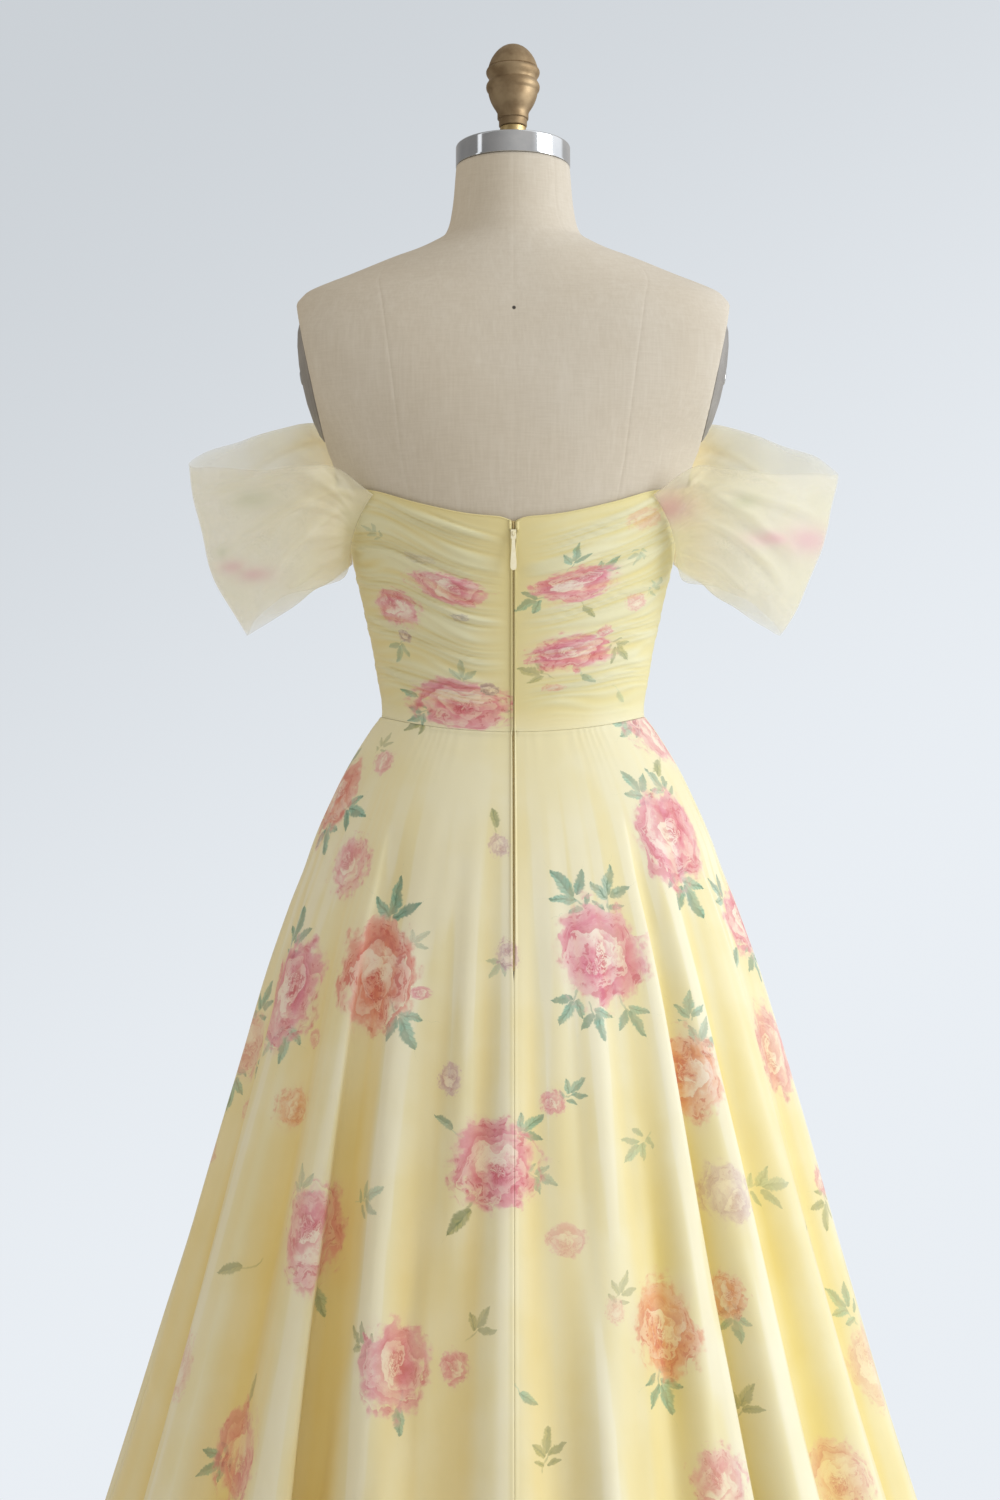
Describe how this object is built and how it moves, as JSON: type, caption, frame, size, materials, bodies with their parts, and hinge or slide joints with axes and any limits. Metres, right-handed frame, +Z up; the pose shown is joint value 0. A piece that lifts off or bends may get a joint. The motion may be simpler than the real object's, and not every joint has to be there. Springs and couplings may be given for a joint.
{
  "type": "prom dress on a limbless dress form",
  "caption": "Floor-length off-the-shoulder prom dress with a ruched bodice, open drape sleeves and a full skirt, on a limbless dress form.",
  "frame": {"origin": "on the floor, at the middle of the stand's round base", "axes": "+Z up, +Y towards the back of the dress, +X towards the wearer's left"},
  "size_m": [0.9536, 0.854, 1.6747],
  "materials": {
    "printed_chiffon": "soft printed chiffon",
    "organza": "sheer organza",
    "zip_tape": "woven tape",
    "zip_enamel": "satin enamel",
    "linen": "plain-woven linen",
    "polished_steel": "polished",
    "bronze": "satin bronze",
    "brass": "polished",
    "arm_plate": "satin",
    "cast_iron": "painted"
  },
  "bodies": {
    "dress": {"bodice_front": "printed_chiffon", "bodice_back_left": "printed_chiffon", "bodice_back_right": "printed_chiffon", "skirt_front": "printed_chiffon", "skirt_back_left": "printed_chiffon", "skirt_back_right": "printed_chiffon", "sleeve_left": "organza", "sleeve_right": "organza", "zip_tape": "zip_tape", "zip_slider": "zip_enamel", "form_torso": "linen", "form_neck_cap": "polished_steel", "form_finial": "bronze", "form_finial_stem": "brass", "form_arm_plate_left": "arm_plate", "form_arm_plate_right": "arm_plate", "stand_pole": "polished_steel", "stand_base": "cast_iron"},
    "zip_tab": {"zip_pull": "zip_enamel"}
  },
  "joints": [
    {"name": "zip_pull_swing", "type": "hinge", "parent": "dress", "child": "zip_tab", "pos_m": [0, 0.10399, 1.2195], "axis": [1, 0, 0], "range_deg": [0, 150]}
  ]
}
